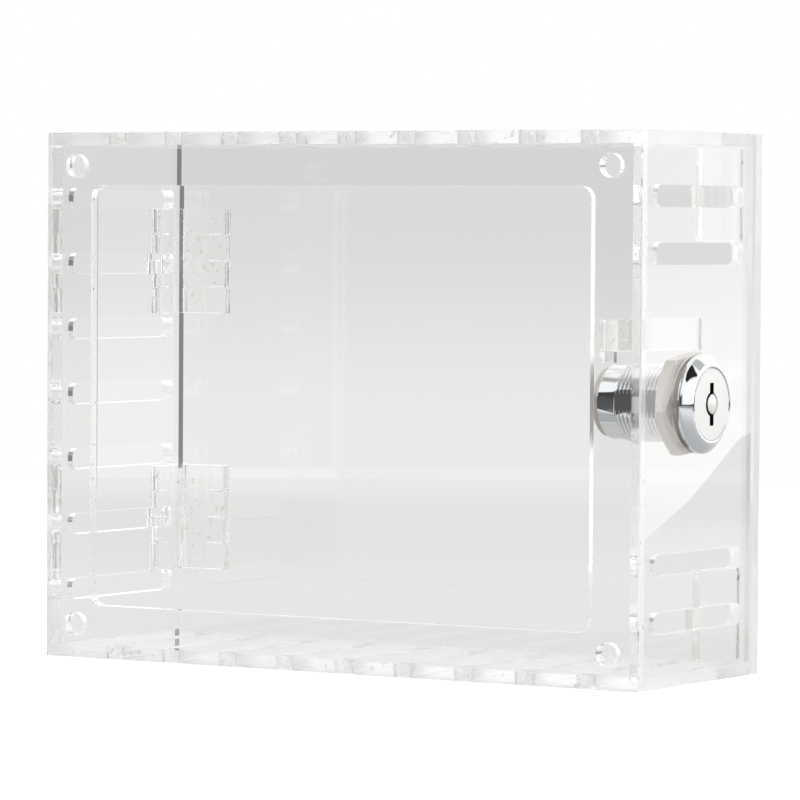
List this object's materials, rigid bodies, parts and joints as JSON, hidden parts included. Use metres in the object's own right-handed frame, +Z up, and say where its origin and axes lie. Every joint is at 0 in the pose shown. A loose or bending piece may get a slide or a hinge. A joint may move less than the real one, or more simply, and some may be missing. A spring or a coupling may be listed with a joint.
{
  "type": "thermostat lock box",
  "caption": "Clear acrylic guard box for a wall thermostat, with a windowed wall plate, slotted walls, a hinged door and a cam lock.",
  "frame": {"origin": "centre of the four wall screw holes, on the plate's wall side", "axes": "+Z up, -Y out of the door, +X towards the hinges"},
  "size_m": [0.1709, 0.063, 0.126],
  "materials": {
    "clear_acrylic": "polished clear acrylic sheet, 3 mm",
    "thin_acrylic": "polished clear acrylic sheet, 2 mm",
    "moulded_clear_plastic": "moulded clear plastic",
    "hinge_pin_plastic": "clear plastic rod",
    "chrome_plate": "bright chrome plate on die-cast zinc",
    "satin_nickel": "fine satin plate",
    "wafer_brass": "stamped brass",
    "zinc_steel": "zinc plated steel"
  },
  "bodies": {
    "box": {"back_plate": "clear_acrylic", "top_wall": "clear_acrylic", "bottom_wall": "clear_acrylic", "hinge_side_wall": "clear_acrylic", "lock_side_wall": "clear_acrylic", "upper_hinge_wall_leaf": "moulded_clear_plastic", "lower_hinge_wall_leaf": "moulded_clear_plastic", "upper_hinge_pin": "hinge_pin_plastic", "lower_hinge_pin": "hinge_pin_plastic", "lock_housing": "chrome_plate", "lock_washer": "zinc_steel", "lock_nut": "zinc_steel"},
    "door": {"front_door": "clear_acrylic", "upper_door_tab": "thin_acrylic", "lower_door_tab": "thin_acrylic", "strike_arm": "thin_acrylic", "strike_lip": "thin_acrylic", "upper_hinge_door_leaf": "moulded_clear_plastic", "lower_hinge_door_leaf": "moulded_clear_plastic"},
    "plug": {"lock_plug": "satin_nickel", "plug_wafers": "wafer_brass", "plug_clip": "zinc_steel", "cam_stop_washer": "zinc_steel", "lock_cam": "zinc_steel", "cam_screw_washer": "zinc_steel", "cam_screw": "zinc_steel"}
  },
  "joints": [
    {"name": "door_swing", "type": "hinge", "parent": "box", "child": "door", "pos_m": [0.084, -0.0605, 0], "axis": [0, 0, 1], "range_deg": [0, 180]},
    {"name": "lock_turn", "type": "hinge", "parent": "box", "child": "plug", "pos_m": [-0.0815, -0.029, 0.0009], "axis": [-1, 0, 0], "range_deg": [0, 90]}
  ]
}
